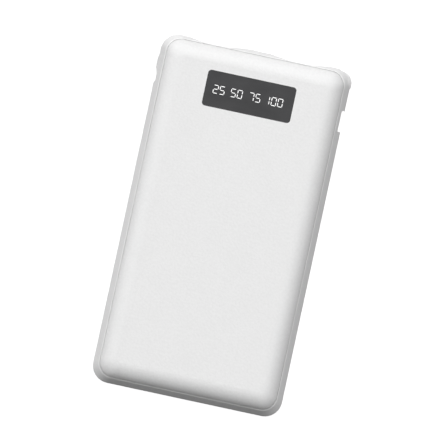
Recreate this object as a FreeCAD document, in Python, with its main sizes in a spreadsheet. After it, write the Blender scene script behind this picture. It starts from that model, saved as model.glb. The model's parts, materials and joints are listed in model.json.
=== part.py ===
import FreeCAD, Part
import math
import os
import re
import Sketcher

os.makedirs("parts", exist_ok=True)
doc = FreeCAD.newDocument("PowerBank")

# The power bank lies on its back: +X is its right side, +Y its display end, +Z out of its face.
# The origin is the middle of the rear side. Both covers are crowned shells that sit on a wider
# band, the mid frame. All sizes are in millimetres and degrees.

# ---------------------------------------------------------------- driving dimensions

SIZES = [
    # overall form
    ("body_width", 72.0, "band, side to side"),
    ("body_length", 132.7, "band, end to end"),
    ("body_thick", 16.0, "face to face"),
    ("body_corner", 6.6, "corner radius of the band"),
    ("side_proud", 0.35, "how far the corner bump and the button stand out"),
    # covers
    ("cover_width", 67.2, "outline of a cover at the seam"),
    ("cover_length", 128.8, "outline of a cover at the seam"),
    ("cover_corner", 5.5, "corner radius at the seam"),
    ("cover_up", 0.44, "covers, from the middle of the band towards the display end"),
    ("flat_corner", 1.6, "corner radius where the flat face begins"),
    ("crown_width", 6.2, "width of the crowned edge"),
    ("crown_angle", 52.0, "tilt of the crown at the seam"),
    ("cover_wall", 1.6, "wall of a cover"),
    ("inner_crown", 4.6, "width of the crown inside"),
    ("seam_gap", 0.12, "groove between cover and band"),
    ("seam_floor", 3.7, "bottom of that groove, from the mid plane"),
    # band
    ("slope_foot", 2.2, "foot of the band's slope, from the mid plane"),
    ("slope_angle", 51.0, "tilt of the band's slope"),
    ("slope_wide", 1.89, "width of the slope, from its foot to the bead"),
    ("slope_round", 0.4, "rounding at the foot of the slope"),
    ("bead_round", 1.4, "rounding of the bead beside the seam"),
    ("bead_top", 15.0, "tilt where the bead ends, under the cover"),
    ("rail_width", 62.4, "opening inside the band"),
    ("rail_length", 124.4, "opening inside the band"),
    ("rail_corner", 3.0, "corner radius of that opening"),
    ("seat_height", 4.55, "seat that a cover rests on, from the mid plane"),
    ("web_wall", 2.3, "wall of the band between its flanges"),
    ("channel_height", 6.0, "channel inside the band, between the flanges"),
    ("channel_corner", 4.0, "corner radius of the channel"),
    # scallops in the top end
    ("scallop_crest", 5.2, "level crest between the scallops"),
    ("scallop_floor", 4.0, "level floor of a scallop"),
    ("scallop_depth", 1.0, "depth of a scallop"),
    # notches in the sides, placed from the middle of the length
    ("port_notch_low", 43.3, "right notch, lower end"),
    ("port_notch_high", 51.2, "right notch, upper end"),
    ("port_notch_depth", 1.07, "right notch, depth"),
    ("thumb_notch_low", 46.85, "left notch, lower end"),
    ("thumb_notch_high", 51.75, "left notch, upper end"),
    ("thumb_notch_depth", 0.45, "left notch, depth"),
    ("thumb_ramp_low", 1.1, "left notch, length of its lower slant"),
    ("thumb_ramp_high", 1.45, "left notch, length of its upper slant"),
    ("bump_low", 59.5, "corner bump, lower end"),
    ("bump_turn", 61.35, "corner bump, where its face starts to turn"),
    ("bump_radius", 4.3, "corner bump, radius round the corner"),
    ("bump_height", 4.2, "corner bump, height of its upright face"),
    ("bump_cap", 0.9, "corner bump, height of its slanting edge"),
    ("bump_inset", 1.09, "corner bump, width of its slanting edge"),
    ("bump_foot", 0.7, "corner bump, length of its slanted foot"),
    # snap hooks
    ("hook_long", 8.0, "length of a snap hook"),
    ("hook_thick", 1.15, "thickness of a snap hook"),
    ("hook_reach", 1.1, "how far a hook reaches past its flange"),
    ("hook_play", 0.15, "play between hook and flange"),
    ("hook_root", 0.35, "root of a hook, below the ceiling of its cover"),
    ("hook_catch", 0.5, "how far the catch stands out"),
    ("hook_catch_high", 0.7, "height of the catch"),
    ("hook_pitch", 27.0, "spacing of the side hooks"),
    ("hook_first", -47.0, "first side hook, from the middle"),
    ("hook_end", 14.0, "bottom hooks, from the middle"),
    # window and display
    ("window_width", 33.6, "window plate"),
    ("window_length", 13.6, "window plate"),
    ("window_corner", 1.3, "corner radius of the window plate"),
    ("window_thick", 0.8, "window plate"),
    ("window_middle", 49.15, "window, from the middle of the length"),
    ("window_ledge", 1.3, "ledge that the window is glued to"),
    ("adhesive_thick", 0.1, "adhesive ring"),
    ("adhesive_margin", 0.1, "adhesive ring, in from the edges of the ledge"),
    ("guide_base", 0.2, "foot of the light guides"),
    ("digit_high", 3.2, "height of a digit"),
    ("digit_wide", 1.92, "width of a digit"),
    ("digit_pitch", 2.45, "spacing of digits"),
    ("digit_stroke", 0.25, "stroke of a digit"),
    ("digit_gap", 0.16, "gap between two segments, along the digit's sides"),
    ("digit_one_back", 0.88, "distance from a one to the next digit"),
    ("display_width", 32.6, "display housing"),
    ("display_length", 12.6, "display housing"),
    ("display_low", 11.1, "underside of the display housing"),
    ("display_high", 14.3, "shoulder of the display housing"),
    ("display_step", 1.1, "step round the top of the display housing"),
    ("display_corner", 0.6, "corner radius of the display housing"),
    ("display_top_corner", 0.4, "corner radius above the step"),
    ("pin_size", 0.5, "diameter of a header pin"),
    ("pin_pitch", 2.54, "spacing of header pins"),
    ("pin_line", 44.4, "header pins, from the middle of the length"),
    # circuit board
    ("board_width", 61.6, "circuit board"),
    ("board_low", 38.0, "circuit board, lower edge"),
    ("board_high", 60.0, "circuit board, upper edge"),
    ("board_thick", 1.0, "circuit board"),
    ("board_top", 6.5, "top of the circuit board"),
    ("board_tab", 33.3, "tab under the input socket, from the middle"),
    ("screw_across", 25.7, "screws, from the middle"),
    ("screw_low", 40.6, "lower screws, from the middle of the length"),
    ("screw_high", 57.4, "upper screws, from the middle of the length"),
    ("screw_size", 1.5, "screw shank"),
    ("screw_head", 2.8, "screw head"),
    ("screw_head_high", 1.0, "screw head"),
    ("screw_slot", 0.4, "slot in the screw head"),
    ("screw_long", 2.6, "shank below the board"),
    ("boss_size", 4.0, "boss under the board"),
    ("boss_bore", 1.6, "pilot hole in a boss"),
    ("bore_spare", 0.3, "pilot hole, beyond the screw's tip"),
    ("board_bore", 1.9, "screw hole in the board"),
    # output sockets
    ("output_across", 16.0, "output sockets, from the middle"),
    ("output_width", 13.1, "output socket shell"),
    ("output_height", 5.72, "output socket shell"),
    ("output_depth", 14.0, "output socket shell"),
    ("output_mouth", 65.15, "mouth of the output sockets"),
    ("output_wall", 0.3, "sheet of the output shells"),
    ("output_play", 0.14, "play round an output socket"),
    ("tongue_width", 11.1, "output tongue"),
    ("tongue_thick", 1.84, "output tongue"),
    ("tongue_back", 1.3, "output tongue, from the mouth"),
    ("tongue_block", 3.0, "plastic block behind the tongue"),
    ("tongue_low", 8.2, "underside of the output tongue"),
    ("contact_wide", 1.0, "contact strip"),
    ("contact_long", 8.0, "contact strip"),
    ("contact_thick", 0.15, "contact strip"),
    ("contact_inner", 1.0, "inner contacts, from the middle of the tongue"),
    ("contact_outer", 3.5, "outer contacts, from the middle of the tongue"),
    ("contact_back", 0.6, "contacts, back from the tip of the tongue"),
    # input socket
    ("input_middle", 47.25, "input socket, from the middle of the length"),
    ("input_width", 7.5, "input socket shell"),
    ("input_height", 3.0, "input socket shell"),
    ("input_depth", 5.6, "input socket shell"),
    ("input_mouth", 34.8, "mouth of the input socket"),
    ("input_wall", 0.25, "sheet of the input shell"),
    ("input_bevel", 0.9, "cut corners of the input shell"),
    ("input_play", 0.12, "play round the input socket"),
    ("input_tongue_wide", 3.7, "input tongue"),
    ("input_tongue_thick", 0.6, "input tongue"),
    ("input_tongue_back", 0.5, "input tongue, from the mouth"),
    ("input_tongue_up", 0.15, "underside of the input tongue, above the middle"),
    # power button and switch
    ("button_middle", 54.55, "button, from the middle of the length"),
    ("button_long", 4.7, "button cap"),
    ("button_high", 2.8, "button cap"),
    ("button_play", 0.2, "play round the button"),
    ("button_round", 0.3, "rounding of the button's face"),
    ("button_line", 1.2, "groove across the button, below its middle"),
    ("button_line_wide", 0.2, "groove across the button"),
    ("button_line_deep", 0.15, "groove across the button"),
    ("button_flange", 0.7, "how far the button's flange stands out"),
    ("button_flange_thick", 0.6, "flange of the button"),
    ("button_flange_play", 0.1, "play between flange and band"),
    ("button_post", 1.6, "post behind the button"),
    ("switch_face", 31.0, "front of the switch, from the middle"),
    ("switch_deep", 3.5, "switch body"),
    ("switch_long", 6.0, "switch body"),
    ("switch_high", 3.0, "switch body"),
    ("plunger_out", 0.55, "plunger, out of the switch"),
    ("plunger_in", 1.0, "plunger, inside the switch"),
    ("plunger_long", 1.6, "plunger"),
    ("plunger_high", 1.2, "plunger"),
    ("plunger_play", 0.1, "play round the plunger"),
    ("plunger_room", 1.5, "hole for the plunger"),
    ("post_play", 0.1, "play between post and plunger"),
    # board components
    ("coil_size", 7.0, "inductor"),
    ("coil_high", 3.4, "inductor"),
    ("coil_corner", 1.2, "corner radius of the inductor"),
    ("coil_core", 4.6, "round core on the inductor"),
    ("coil_core_high", 0.5, "round core on the inductor"),
    ("coil_across", -19.0, "inductor, from the middle"),
    ("parts_line", 45.2, "large components, from the middle of the length"),
    ("charge_across", 20.0, "charge chip, from the middle"),
    ("charge_size", 5.0, "charge chip"),
    ("charge_high", 0.9, "charge chip"),
    ("boost_across", -8.5, "boost chip, from the middle"),
    ("boost_middle", 48.6, "boost chip, from the middle of the length"),
    ("boost_wide", 4.9, "boost chip"),
    ("boost_long", 3.9, "boost chip"),
    ("boost_high", 1.5, "boost chip"),
    ("cap_across", 8.0, "first capacitor, from the middle"),
    ("cap_pitch", 2.6, "spacing of the capacitors"),
    ("cap_wide", 1.6, "capacitor"),
    ("cap_long", 3.2, "capacitor"),
    ("cap_high", 1.6, "capacitor"),
    # cells
    ("cell_width", 56.0, "pouch cell"),
    ("cell_length", 92.0, "pouch cell"),
    ("cell_thick", 5.6, "pouch cell"),
    ("cell_low", -59.5, "lower end of the cells"),
    ("cell_corner", 2.0, "corner radius of a cell"),
    ("cell_round", 1.2, "rounding of a cell's edges"),
    ("tape_thick", 0.2, "tape between the cells"),
    ("tape_margin", 6.0, "tape, in from the cell's edge"),
    ("foam_rear_thick", 0.6, "foam behind the cells"),
    ("foam_margin", 4.0, "foam, in from the cell's edge"),
    ("tab_wide", 6.0, "cell tab"),
    ("tab_thick", 0.15, "cell tab"),
    ("tab_across", 12.0, "cell tabs, from the middle"),
    ("tab_end", 0.6, "end of a tab, from the protection board's far edge"),
    ("guard_width", 40.0, "protection board"),
    ("guard_long", 3.2, "protection board"),
    ("guard_thick", 0.8, "protection board"),
    ("guard_gap", 0.6, "protection board, from the cells"),
    ("lead_size", 1.3, "battery lead"),
    ("lead_across", 6.0, "battery leads, from the middle"),
    ("lead_bend", 3.0, "bend radius of a lead"),
    ("lead_tail", 1.5, "straight end of a lead"),
]

CROWN_STEPS = 5
FOOT_STEPS = 2
BEAD_STEPS = 4
HOOKS_PER_SIDE = 4
PIN_COUNT = 8
CAP_COUNT = 4
CLEAR = 2.0  # how far a cutting profile runs past the solid
SAME = 1e-6  # two lengths nearer than this are equal

sheet = doc.addObject("Spreadsheet::Sheet", "Size")
for row, (alias, number, meaning) in enumerate(SIZES, start=1):
    sheet.set(f"A{row}", meaning)
    sheet.set(f"B{row}", str(number))
    sheet.setAlias(f"B{row}", alias)
doc.recompute()

ALIASES = {alias for alias, _, _ in SIZES}


def bound(formula):
    """The formula with each alias named as the sheet's cell."""
    return re.sub(r"[a-z_]+", lambda m: f"Size.{m[0]}" if m[0] in ALIASES else m[0], formula)


def value(formula):
    """What a formula comes to now."""
    return float(sheet.evalExpression(bound(formula)))


MID = "body_thick / 2"


def level(side, formula):
    """A height measured from the mid plane towards the front (1) or the rear (-1)."""
    return f"{MID} + ({side}) * ({formula})"


# Heights above the mid plane.
SEAT = "seat_height"
CROWN_RISE = "(crown_width * tan(crown_angle / 2))"
CEILING = f"({MID} - cover_wall)"

# ---------------------------------------------------------------- sketch helpers


def new_body(label):
    """A body whose Label names its file."""
    body = doc.addObject("PartDesign::Body", label)
    body.AllowCompound = True
    return body


def new_sketch(body, name, plane="XY_Plane", offset="0"):
    """A sketch on one of the body's own origin planes, moved along the plane's normal."""
    sketch = body.newObject("Sketcher::SketchObject", name)
    support = next(f for f in body.Origin.OriginFeatures if f.Role == plane)
    sketch.AttachmentSupport = (support, [""])
    sketch.MapMode = "FlatFace"
    sketch.setExpression("AttachmentOffset.Base.z", bound(offset))
    return sketch


def tie(sketch, kind, geo, pos, formula):
    """Holds a point's distance from the sketch origin to a formula."""
    number = value(formula)
    if number < 0:
        index = sketch.addConstraint(Sketcher.Constraint(kind, geo, pos, -1, 1, -number))
        sketch.setExpression(f"Constraints[{index}]", bound(f"-({formula})"))
    else:
        index = sketch.addConstraint(Sketcher.Constraint(kind, -1, 1, geo, pos, number))
        sketch.setExpression(f"Constraints[{index}]", bound(formula))


def tie_radius(sketch, geo, formula):
    index = sketch.addConstraint(Sketcher.Constraint("Radius", geo, value(formula)))
    sketch.setExpression(f"Constraints[{index}]", bound(formula))


def polygon(sketch, points):
    """A closed outline of straight lines through points given as formulas."""
    places = [FreeCAD.Vector(value(x), value(y), 0) for x, y in points]
    first = sketch.GeometryCount
    count = len(places)
    for i in range(count):
        sketch.addGeometry(Part.LineSegment(places[i], places[(i + 1) % count]))
    for i in range(count):
        after = first + (i + 1) % count
        sketch.addConstraint(Sketcher.Constraint("Coincident", first + i, 2, after, 1))
    for i, (x, y) in enumerate(points):
        tie(sketch, "DistanceX", first + i, 1, x)
        tie(sketch, "DistanceY", first + i, 1, y)


def rectangle(sketch, width, length, across="0", along="0"):
    """A rectangle about a centre."""
    left = f"{across} - ({width}) / 2"
    right = f"{across} + ({width}) / 2"
    low = f"{along} - ({length}) / 2"
    high = f"{along} + ({length}) / 2"
    polygon(sketch, [(left, low), (right, low), (right, high), (left, high)])


def rounded_rectangle(sketch, width, length, radius, along="0"):
    """A rectangle with four equal tangent corners, centred across the sketch."""
    w, h, r = value(width) / 2, value(length) / 2, value(radius)
    mid = value(along)
    normal = FreeCAD.Vector(0, 0, 1)
    quarter = math.pi / 2
    corners = [(w - r, h - r, 0), (r - w, h - r, 1), (r - w, r - h, 2), (w - r, r - h, 3)]
    ends = [
        ((w - r, h), (r - w, h)),
        ((-w, h - r), (-w, r - h)),
        ((r - w, -h), (w - r, -h)),
        ((w, r - h), (w, h - r)),
    ]
    first = sketch.GeometryCount
    for (x, y, turn), (start, stop) in zip(corners, ends):
        circle = Part.Circle(FreeCAD.Vector(x, y + mid, 0), normal, r)
        sketch.addGeometry(Part.ArcOfCircle(circle, turn * quarter, (turn + 1) * quarter))
        sketch.addGeometry(
            Part.LineSegment(
                FreeCAD.Vector(start[0], start[1] + mid, 0),
                FreeCAD.Vector(stop[0], stop[1] + mid, 0),
            )
        )
    for i in range(8):
        sketch.addConstraint(
            Sketcher.Constraint("Tangent", first + i, 2, first + (i + 1) % 8, 1)
        )
    for i in (1, 5):
        sketch.addConstraint(Sketcher.Constraint("Horizontal", first + i))
    for i in (3, 7):
        sketch.addConstraint(Sketcher.Constraint("Vertical", first + i))
    for i in (2, 4, 6):
        sketch.addConstraint(Sketcher.Constraint("Equal", first, first + i))
    tie_radius(sketch, first, radius)
    tie(sketch, "DistanceX", first + 7, 1, f"({width}) / 2")
    tie(sketch, "DistanceX", first + 3, 1, f"-({width}) / 2")
    tie(sketch, "DistanceY", first + 1, 1, f"{along} + ({length}) / 2")
    tie(sketch, "DistanceY", first + 5, 1, f"{along} - ({length}) / 2")


def arc(centre, radius, start, stop):
    """Three points of an arc about a centre, between two angles from the X axis."""
    angles = [math.radians(angle) for angle in (start, (start + stop) / 2, stop)]
    return [(centre[0] + radius * math.cos(a), centre[1] + radius * math.sin(a)) for a in angles]


def trace(sketch, steps):
    """An outline whose steps are the two points of a line or the three of an arc."""
    for step in steps:
        points = [FreeCAD.Vector(x, y, 0) for x, y in step]
        kind = Part.Arc if len(points) == 3 else Part.LineSegment
        sketch.addGeometry(kind(*points))


# ---------------------------------------------------------------- feature helpers


def pad(body, sketch, length, reverse=False, both_ways=False):
    feature = body.newObject("PartDesign::Pad", f"{sketch.Name}_pad")
    feature.Profile = sketch
    feature.SideType = "Symmetric" if both_ways else "One side"
    feature.Reversed = reverse
    feature.setExpression("Length", bound(length))
    doc.recompute()
    return feature


def cut(body, sketch, length, reverse=False, both_ways=False):
    """A pocket, which has to take something away."""
    before = body.Shape.Volume
    feature = body.newObject("PartDesign::Pocket", f"{sketch.Name}_cut")
    feature.Profile = sketch
    feature.SideType = "Symmetric" if both_ways else "One side"
    feature.Reversed = reverse
    feature.setExpression("Length", bound(length))
    doc.recompute()
    if not body.Shape.Volume < before - 1e-4:
        raise RuntimeError(f"{feature.Name} cuts nothing")
    return feature


def loft(body, kind, name, sections, straight=False):
    """A solid through the sections, smooth or with straight sides from one to the next."""
    cuts = kind == "SubtractiveLoft"
    before = body.Shape.Volume if cuts else 0
    feature = body.newObject(f"PartDesign::{kind}", name)
    feature.Profile = sections[0]
    feature.Sections = sections[1:]
    feature.Ruled = straight
    doc.recompute()
    if cuts and not body.Shape.Volume < before - 1:
        raise RuntimeError(f"{name} cuts nothing")
    return feature


def edges_where(feature, test):
    """Names of the feature's edges whose points all pass a test."""
    names = []
    for number, edge in enumerate(feature.Shape.Edges, start=1):
        points = [edge.valueAt(edge.FirstParameter), edge.valueAt(edge.LastParameter)]
        points.append(edge.CenterOfMass)
        if all(test(p) for p in points):
            names.append(f"Edge{number}")
    return names


def upright_edges(feature):
    """Names of the feature's edges that run straight up."""
    names = []
    for number, edge in enumerate(feature.Shape.Edges, start=1):
        if abs(edge.tangentAt(edge.FirstParameter).z) > 1 - SAME:
            names.append(f"Edge{number}")
    return names


def fillet(body, feature, names, radius):
    made = body.newObject("PartDesign::Fillet", f"{feature.Name}_fillet")
    made.Base = (feature, names)
    made.setExpression("Radius", bound(radius))
    doc.recompute()
    return made


def block(label, size, centre, low):
    """A plain box: size (x, y, z), its centre across and along, and its underside."""
    item = doc.addObject("Part::Box", label)
    for prop, formula in zip(("Length", "Width", "Height"), size):
        item.setExpression(prop, bound(formula))
    item.setExpression("Placement.Base.x", bound(f"{centre[0]} - ({size[0]}) / 2"))
    item.setExpression("Placement.Base.y", bound(f"{centre[1]} - ({size[1]}) / 2"))
    item.setExpression("Placement.Base.z", bound(low))
    return item


def rod(label, diameter, height, centre, low):
    """An upright cylinder."""
    item = doc.addObject("Part::Cylinder", label)
    item.setExpression("Radius", bound(f"({diameter}) / 2"))
    item.setExpression("Height", bound(height))
    item.setExpression("Placement.Base.x", bound(centre[0]))
    item.setExpression("Placement.Base.y", bound(centre[1]))
    item.setExpression("Placement.Base.z", bound(low))
    return item


def difference(label, base, tool):
    item = doc.addObject("Part::Cut", label)
    item.Base = base
    item.Tool = tool
    return item


def union(label, pieces):
    item = doc.addObject("Part::MultiFuse", label)
    item.Shapes = pieces
    return item


def group(label, pieces):
    """Separate solids that share one node."""
    item = doc.addObject("Part::Compound", label)
    item.Links = pieces
    return item


# ---------------------------------------------------------------- the two covers


def crown_sections(body, name, side, outline, corner, crown, foot, rise):
    """Rounded rectangles from the seam to the flat: an arc that starts steep and ends level."""
    sections = []
    for step in range(CROWN_STEPS + 1):
        tilt = f"crown_angle * {CROWN_STEPS - step} / {CROWN_STEPS}"
        inset = f"({crown}) * (1 - sin({tilt}) / sin(crown_angle))"
        lift = f"({rise}) * (cos({tilt}) - cos(crown_angle)) / (1 - cos(crown_angle))"
        sketch = new_sketch(body, f"{name}_{step}", offset=level(side, f"{foot} + {lift}"))
        radius = f"{corner} - ({corner} - flat_corner) * ({inset}) / ({crown})"
        rounded_rectangle(
            sketch,
            f"{outline[0]} - 2 * {inset}",
            f"{outline[1]} - 2 * {inset}",
            radius,
            "cover_up",
        )
        sections.append(sketch)
    doc.recompute()
    return sections


def hook_places():
    """Centres of the snap hooks, and whether each lies along a side."""
    places = []
    for number in range(HOOKS_PER_SIDE):
        along = f"hook_first + {number} * hook_pitch"
        for hand in (-1, 1):
            places.append((hand, along, True))
    for hand in (-1, 1):
        places.append((-1, f"{hand} * hook_end", False))
    return places


def hook_rectangles(sketch, inner, outer):
    """One rectangle per hook, between two distances inside the rail."""
    thick = f"({inner}) - ({outer})"
    for hand, place, on_side in hook_places():
        rail = "rail_width / 2" if on_side else "rail_length / 2"
        middle = f"({hand}) * ({rail} - (({inner}) + ({outer})) / 2)"
        if on_side:
            rectangle(sketch, thick, "hook_long", middle, place)
        else:
            rectangle(sketch, "hook_long", thick, place, middle)


def snap_hooks(body, name, side):
    """Tongues that pass the flange and catch under it, with a small play."""
    backward = side < 0
    flange = "channel_height / 2"
    tip = f"({flange} - hook_reach)"
    blades = new_sketch(body, f"{name}_blades", offset=level(side, tip))
    hook_rectangles(blades, "hook_play + hook_thick", "hook_play")
    root = f"({CEILING} - hook_root)"
    pad(body, blades, f"{root} - {tip}", reverse=backward)
    catch_low = f"({flange} - hook_play - hook_catch_high)"
    catches = new_sketch(body, f"{name}_catches", offset=level(side, catch_low))
    hook_rectangles(catches, "hook_play", "-(hook_catch - hook_play)")
    return pad(body, catches, "hook_catch_high", reverse=backward)


def cover(label, side):
    """A crowned shell with a hollow inside and hooks round its edge."""
    body = new_body(label)
    backward = side < 0
    edge = f"({MID} - {CROWN_RISE})"
    skirt = new_sketch(body, f"{label}_skirt", offset=level(side, SEAT))
    rounded_rectangle(skirt, "cover_width", "cover_length", "cover_corner", "cover_up")
    pad(body, skirt, f"{edge} - {SEAT}", reverse=backward)
    outline = ("cover_width", "cover_length")
    outer = crown_sections(
        body, f"{label}_outer", side, outline, "cover_corner", "crown_width", edge, CROWN_RISE
    )
    loft(body, "AdditiveLoft", f"{label}_crown", outer)
    inside = ("(cover_width - 2 * cover_wall)", "(cover_length - 2 * cover_wall)")
    inner = crown_sections(
        body,
        f"{label}_inner",
        side,
        inside,
        "(cover_corner - cover_wall)",
        "inner_crown",
        SEAT,
        f"({CEILING} - {SEAT})",
    )
    loft(body, "SubtractiveLoft", f"{label}_hollow", inner)
    snap_hooks(body, label, side)
    return body


def front_cover():
    body = cover("front_cover", 1)
    recess = new_sketch(body, "window_recess", offset="body_thick")
    rounded_rectangle(recess, "window_width", "window_length", "window_corner", "window_middle")
    cut(body, recess, "window_thick + adhesive_thick")
    opening = new_sketch(body, "window_opening", offset="body_thick")
    rounded_rectangle(
        opening,
        "window_width - 2 * window_ledge",
        "window_length - 2 * window_ledge",
        "window_corner / 2",
        "window_middle",
    )
    cut(body, opening, "2 * cover_wall")
    return body


SCREWS = [
    (f"{hand} * screw_across", along) for hand in (-1, 1) for along in ("screw_low", "screw_high")
]


def screw_circles(sketch, diameter):
    for x, y in SCREWS:
        centre = FreeCAD.Vector(value(x), value(y), 0)
        circle = Part.Circle(centre, FreeCAD.Vector(0, 0, 1), value(diameter) / 2)
        geo = sketch.addGeometry(circle)
        tie_radius(sketch, geo, f"({diameter}) / 2")
        tie(sketch, "DistanceX", geo, 3, x)
        tie(sketch, "DistanceY", geo, 3, y)


def rear_cover():
    body = cover("rear_cover", -1)
    under_board = "board_top - board_thick"
    bosses = new_sketch(body, "bosses", offset="cover_wall / 2")
    screw_circles(bosses, "boss_size")
    pad(body, bosses, f"{under_board} - cover_wall / 2")
    bores = new_sketch(body, "boss_bores", offset=under_board)
    screw_circles(bores, "boss_bore")
    cut(body, bores, "screw_long + bore_spare")
    return body


# ---------------------------------------------------------------- the band between the covers


def scallop(centre, half):
    """One scallop from left to right: a level floor between two S-shaped flanks."""
    floor = value("scallop_floor / 2")
    depth = value("scallop_depth")
    top = value("body_length / 2")
    run = half - floor
    radius = (run**2 + depth**2) / (4 * depth)
    turn = math.degrees(2 * math.atan(depth / run))
    low = top - depth
    return [
        arc((centre - half, top - radius), radius, 90, 90 - turn),
        arc((centre - floor, low + radius), radius, 270 - turn, 270),
        [(centre - floor, low), (centre + floor, low)],
        arc((centre + floor, low + radius), radius, 270, 270 + turn),
        arc((centre + half, top - radius), radius, 90 + turn, 90),
    ]


def top_trim(body):
    """Cuts the top end straight through: two rounded corners with two scallops between."""
    corner = value("body_corner")
    edge = value("body_width / 2")
    top = value("body_length / 2")
    crest = value("scallop_crest / 2")
    centre = (edge - corner + crest) / 2
    half = centre - crest
    foot = top - corner
    wide = edge + CLEAR
    far = top + CLEAR
    trim = new_sketch(body, "top_trim", offset=MID)
    outline = [
        [(-wide, foot), (-edge, foot)],
        arc((corner - edge, foot), corner, 180, 90),
        *scallop(-centre, half),
        [(-crest, top), (crest, top)],
        *scallop(centre, half),
        arc((edge - corner, foot), corner, 90, 0),
        [(edge, foot), (wide, foot)],
        [(wide, foot), (wide, far)],
        [(wide, far), (-wide, far)],
        [(-wide, far), (-wide, foot)],
    ]
    trace(trim, outline)
    cut(body, trim, "body_thick", both_ways=True)


def bump_section(body, name, side, height, inset):
    """The corner bump's outline at one height, drawn in from its upright face."""
    edge = value(f"body_width / 2 - {inset}")
    proud = value(f"body_width / 2 + side_proud - {inset}")
    inner = value("body_width / 2 - body_corner")
    low = value("bump_low")
    face = value("bump_low + bump_foot")
    turn = value("bump_turn")
    radius = value(f"bump_radius - {inset}")
    section = new_sketch(body, name, offset=level(side, height))
    outline = [
        [(inner, low), (edge, low)],
        [(edge, low), (proud, face)],
        [(proud, face), (proud, turn)],
        arc((proud - radius, turn), radius, 0, 90),
        [(proud - radius, turn + radius), (inner, turn + radius)],
        [(inner, turn + radius), (inner, low)],
    ]
    trace(section, outline)
    return section


def corner_bump(body):
    """A low swelling that runs up the right side and round the top corner."""
    upright = "bump_height / 2"
    top = f"{upright} + bump_cap"
    sections = [
        bump_section(body, "bump_rear_top", -1, top, "bump_inset"),
        bump_section(body, "bump_rear", -1, upright, "0"),
        bump_section(body, "bump_front", 1, upright, "0"),
        bump_section(body, "bump_front_top", 1, top, "bump_inset"),
    ]
    doc.recompute()
    loft(body, "AdditiveLoft", "corner_bump", sections, straight=True)


def band_openings(body):
    """Everything that is cut through the band from outside."""
    edge = "body_width / 2"
    notch = new_sketch(body, "port_notch", offset=MID)
    floor = f"{edge} - port_notch_depth"
    polygon(
        notch,
        [
            (floor, "port_notch_low"),
            (f"{edge} + {CLEAR}", "port_notch_low"),
            (f"{edge} + {CLEAR}", "port_notch_high"),
            (floor, "port_notch_high"),
        ],
    )
    cut(body, notch, "body_thick", both_ways=True)
    thumb = new_sketch(body, "thumb_notch", offset=MID)
    floor = f"-({edge} - thumb_notch_depth)"
    polygon(
        thumb,
        [
            (floor, "thumb_notch_high - thumb_ramp_high"),
            (f"-({edge})", "thumb_notch_high"),
            (f"-({edge} + {CLEAR})", "thumb_notch_high"),
            (f"-({edge} + {CLEAR})", "thumb_notch_low"),
            (f"-({edge})", "thumb_notch_low"),
            (floor, "thumb_notch_low + thumb_ramp_low"),
        ],
    )
    cut(body, thumb, "body_thick", both_ways=True)
    outside = f"(body_length / 2 + {CLEAR})"
    outputs = new_sketch(body, "output_openings", plane="XZ_Plane", offset=f"-{outside}")
    for hand in (-1, 1):
        rectangle(
            outputs,
            "output_width + 2 * output_play",
            "output_height + 2 * output_play",
            f"{hand} * output_across",
            MID,
        )
    cut(body, outputs, f"{outside} - rail_length / 2", reverse=True)
    outside = f"({edge} + {CLEAR})"
    through = f"{outside} - rail_width / 2"
    inlet = new_sketch(body, "input_opening", plane="YZ_Plane", offset=outside)
    rectangle(
        inlet,
        "input_width + 2 * input_play",
        "input_height + 2 * input_play",
        "input_middle",
        MID,
    )
    cut(body, inlet, through)
    button = new_sketch(body, "button_opening", plane="YZ_Plane", offset=f"-{outside}")
    rectangle(
        button,
        "button_long + 2 * button_play",
        "button_high + 2 * button_play",
        "button_middle",
        MID,
    )
    cut(body, button, through, reverse=True)


def band_profile():
    """Inset and height of the band's outside, from the foot of the slope over the bead."""
    profile = []
    start = "(slope_foot - slope_round * tan((90 - slope_angle) / 2))"
    for step in range(FOOT_STEPS + 1):
        tilt = f"(90 - (90 - slope_angle) * {step} / {FOOT_STEPS})"
        profile.append((f"slope_round * (1 - sin({tilt}))", f"{start} + slope_round * cos({tilt})"))
    top = "(slope_foot + slope_wide * tan(slope_angle))"
    for step in range(BEAD_STEPS + 1):
        tilt = f"(slope_angle - (slope_angle - bead_top) * {step} / {BEAD_STEPS})"
        inset = f"slope_wide + bead_round * (sin(slope_angle) - sin({tilt}))"
        profile.append((inset, f"{top} + bead_round * (cos({tilt}) - cos(slope_angle))"))
    return profile


def band_blank(body):
    """The band before anything is cut: its corners tighten towards those of the covers."""
    seam_corner = "(cover_corner + seam_gap)"
    seam_inset = "(body_width / 2 - cover_width / 2 - seam_gap)"
    sections = []
    for side, name in ((-1, "rear"), (1, "front")):
        profile = list(enumerate(band_profile()))
        for number, (inset, height) in profile[::side]:
            section = new_sketch(body, f"band_{name}_{number}", offset=level(side, height))
            rounded_rectangle(
                section,
                f"body_width - 2 * ({inset})",
                f"body_length + 2 * cover_up - 2 * ({inset})",
                f"body_corner - (body_corner - {seam_corner}) * ({inset}) / {seam_inset}",
                "cover_up",
            )
            sections.append(section)
    doc.recompute()
    loft(body, "AdditiveLoft", "band_blank", sections, straight=True)


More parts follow.
